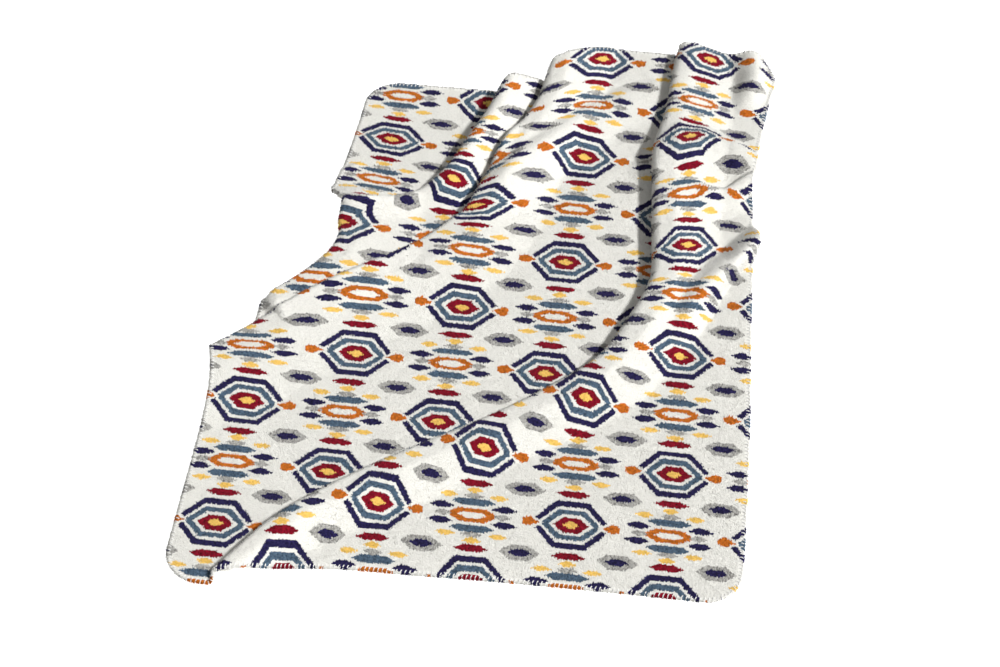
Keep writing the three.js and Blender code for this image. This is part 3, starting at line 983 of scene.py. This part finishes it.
def new_material(name, roughness):
    """A matt material, with its node tree and its shader."""
    material = bpy.data.materials.new(name)
    material.use_nodes = True
    tree = material.node_tree
    shader = tree.nodes["Principled BSDF"]
    shader.inputs["Roughness"].default_value = roughness
    shader.inputs["Specular IOR Level"].default_value = SPECULAR_LEVEL
    return material, tree, shader


def map_values(tree, label):
    """The two values of a UV map as fields."""
    source = tree.nodes.new("ShaderNodeUVMap")
    source.uv_map = label
    split = tree.nodes.new("ShaderNodeSeparateXYZ")
    tree.links.new(source.outputs[0], split.inputs[0])
    return Field(tree, split.outputs[0]), Field(tree, split.outputs[1])


def flat_places(tree):
    """The place on the flat throw, in millimetres, as two fields."""
    across, up = map_values(tree, "flat")
    return across * 1000, up * 1000


def shaded(colour, share):
    """A colour with this share of its light."""
    return tuple(share * part for part in colour)


def mix_colours(tree, share, below, above):
    """The colour above over the one below, by share. A colour is a socket or a tuple."""
    node = tree.nodes.new("ShaderNodeMix")
    node.data_type = "RGBA"
    # The node's colours are its inputs 6 and 7, and its output 2
    tree.links.new(share.socket, node.inputs["Factor"])
    for socket, colour in ((node.inputs[6], below), (node.inputs[7], above)):
        if isinstance(colour, tuple):
            socket.default_value = (*colour, 1)
        else:
            tree.links.new(colour, socket)
    return node.outputs[2]


def noise(tree, scale, detail=2.0):
    """Noise over the flat throw, from 0 to 1, as a field."""
    source = tree.nodes.new("ShaderNodeUVMap")
    source.uv_map = "flat"
    node = tree.nodes.new("ShaderNodeTexNoise")
    node.inputs["Scale"].default_value = scale
    node.inputs["Detail"].default_value = detail
    tree.links.new(source.outputs[0], node.inputs["Vector"])
    return Field(tree, node.outputs[0])


def knitted_design(tree):
    """The colour of each stitch. The outlines step by the stitch, with teeth."""
    across, up = flat_places(tree)
    tooth = up.snapped(TOOTH[1]).math("PINGPONG", TOOTH[1]) / TOOTH[1]
    x = (across + SHIFT[0]).snapped(CELL[0]) + tooth * (2 * TOOTH[0])
    y = (up + SHIFT[1]).snapped(CELL[1])
    column = (x / COLUMN_WIDTH).math("FLOOR")
    drop = column.math("FLOORED_MODULO", 2) * (DROP / 2)
    x = (x.math("FLOORED_MODULO", COLUMN_WIDTH) - COLUMN_WIDTH / 2).math("ABSOLUTE")
    y = ((y + drop).math("FLOORED_MODULO", DROP) - DROP / 2).math("ABSOLUTE")
    colour = IVORY
    heather = noise(tree, HEATHER_SCALE, detail=1).math("GREATER_THAN", HEATHER_LEVEL)
    grey = mix_colours(tree, heather, GREY, shaded(GREY, HEATHER_SHADE))
    for centre_x, centre_y, level, wide, high, yarn in MOTIF:
        beside = ((x - centre_x).math("ABSOLUTE") - level).math("MAXIMUM", 0) / wide
        inside = (beside + (y - centre_y).math("ABSOLUTE") / high).math("LESS_THAN", 1)
        colour = mix_colours(tree, inside, colour, grey if yarn is GREY else yarn)
    return colour


def tuft_tone_and_root_shade(tree, colour):
    """The pile's painted shade, dark at its roots, and its tone, uneven from tuft to tuft.

    The dark yarns are the most uneven.
    """
    own, height = map_values(tree, "yarn")
    lightness = tree.nodes.new("ShaderNodeRGBToBW")
    tree.links.new(colour, lightness.inputs[0])
    depth = Field(tree, lightness.outputs[0]) * -LOSS_IN_WHITE + UNEVENNESS
    patches = (noise(tree, PATCH_SCALE) - 0.5) * PATCH_WEIGHT
    uneven = ((own - 0.5) + patches) * depth
    # Painted shade: each tuft is darkest at its root and lightens up to its tip
    return uneven + height.math("SQRT") * PAINTED_SHADE_TIP_RISE + PAINTED_SHADE_ROOT_TONE


def make_fleece():
    """The face of the throw: the knitted design in matt, uneven yarn, with painted shade at
    the tufts' roots.
    """
    material, tree, shader = new_material("fleece", ROUGHNESS)
    colour = knitted_design(tree)
    toned = tree.nodes.new("ShaderNodeHueSaturation")
    tree.links.new(colour, toned.inputs["Color"])
    tree.links.new(tuft_tone_and_root_shade(tree, colour).socket, toned.inputs["Value"])
    tree.links.new(toned.outputs[0], shader.inputs["Base Color"])
    shader.inputs["Sheen Weight"].default_value = SHEEN
    shader.inputs["Sheen Roughness"].default_value = SHEEN_ROUGHNESS
    return material


def make_back():
    """The throw's plain back: ivory yarn in fine upright ribs."""
    material, tree, shader = new_material("back", ROUGHNESS)
    colour = mix_colours(tree, noise(tree, BACK_SCALE), shaded(IVORY, BACK_SHADE), IVORY)
    tree.links.new(colour, shader.inputs["Base Color"])
    across, _ = flat_places(tree)
    rib = (across * (2 * math.pi / RIB_WIDTH)).math("SINE")
    bump = tree.nodes.new("ShaderNodeBump")
    bump.inputs["Strength"].default_value = RIB_STRENGTH
    bump.inputs["Distance"].default_value = RIB_DEPTH / 1000
    tree.links.new(rib.socket, bump.inputs["Height"])
    tree.links.new(bump.outputs[0], shader.inputs["Normal"])
    shader.inputs["Sheen Weight"].default_value = SHEEN
    return material


def make_thread():
    """The thread of the overcast stitch: white, with a fine twist."""
    material, tree, shader = new_material("thread", THREAD_ROUGHNESS)
    darker, lighter = THREAD
    colour = mix_colours(tree, noise(tree, THREAD_SCALE), darker, lighter)
    tree.links.new(colour, shader.inputs["Base Color"])
    return material


def make_floor():
    """A plain white surface, a little lit from within, so that shadows stay faint."""
    mesh = bpy.data.meshes.new("floor")
    far = FLOOR_REACH
    corners = [(-far, -far, 0), (far, -far, 0), (far, far, 0), (-far, far, 0)]
    mesh.from_pydata(corners, [], [(0, 1, 2, 3)])
    material, _, shader = new_material("white_surface", 1.0)
    shader.inputs["Base Color"].default_value = (FLOOR_GREY, FLOOR_GREY, FLOOR_GREY, 1)
    shader.inputs["Emission Color"].default_value = (1, 1, 1, 1)
    shader.inputs["Emission Strength"].default_value = FLOOR_GLOW
    mesh.materials.append(material)
    floor = bpy.data.objects.new("floor", mesh)
    floor.location.z = -FLOOR_DEPTH
    bpy.context.scene.collection.objects.link(floor)


def make_light():
    """A key light from the front right, and an even white surround."""
    sun = bpy.data.lights.new("key", "SUN")
    sun.energy = SUN_STRENGTH
    sun.angle = SUN_ANGLE
    key = bpy.data.objects.new("key", sun)
    key.rotation_euler = Vector(SUN_DIRECTION).to_track_quat("-Z", "Y").to_euler()
    bpy.context.scene.collection.objects.link(key)
    world = bpy.data.worlds.new("surround")
    world.use_nodes = True
    background = world.node_tree.nodes["Background"]
    background.inputs["Color"].default_value = (1, 1, 1, 1)
    background.inputs["Strength"].default_value = SURROUND_STRENGTH
    bpy.context.scene.world = world
    bpy.context.scene.view_settings.view_transform = "Standard"


def make_camera():
    """The photograph's viewpoint: from the front, and half-way up."""
    data = bpy.data.cameras.new("camera")
    data.lens = CAMERA_LENS
    data.sensor_width = CAMERA_SENSOR
    camera = bpy.data.objects.new("camera", data)
    forward = Vector((0, math.cos(CAMERA_ELEVATION), -math.sin(CAMERA_ELEVATION)))
    camera.location = Vector(CAMERA_TARGET) - forward * CAMERA_DISTANCE
    camera.rotation_euler = forward.to_track_quat("-Z", "Y").to_euler()
    bpy.context.scene.collection.objects.link(camera)
    bpy.context.scene.camera = camera


def main():
    """Builds the throw round its solid, with a floor, a light and a camera."""
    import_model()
    make_camera()
    make_light()
    make_floor()
    sheet = Sheet(*GRID)
    fleece = make_fleece()
    cloth = make_cloth(sheet, fleece, make_back())
    pile = make_pile(sheet, fleece)
    pile.append(make_hem_pile(sheet, fleece))
    stitches = make_stitches(sheet, make_thread())
    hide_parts("throw")


main()
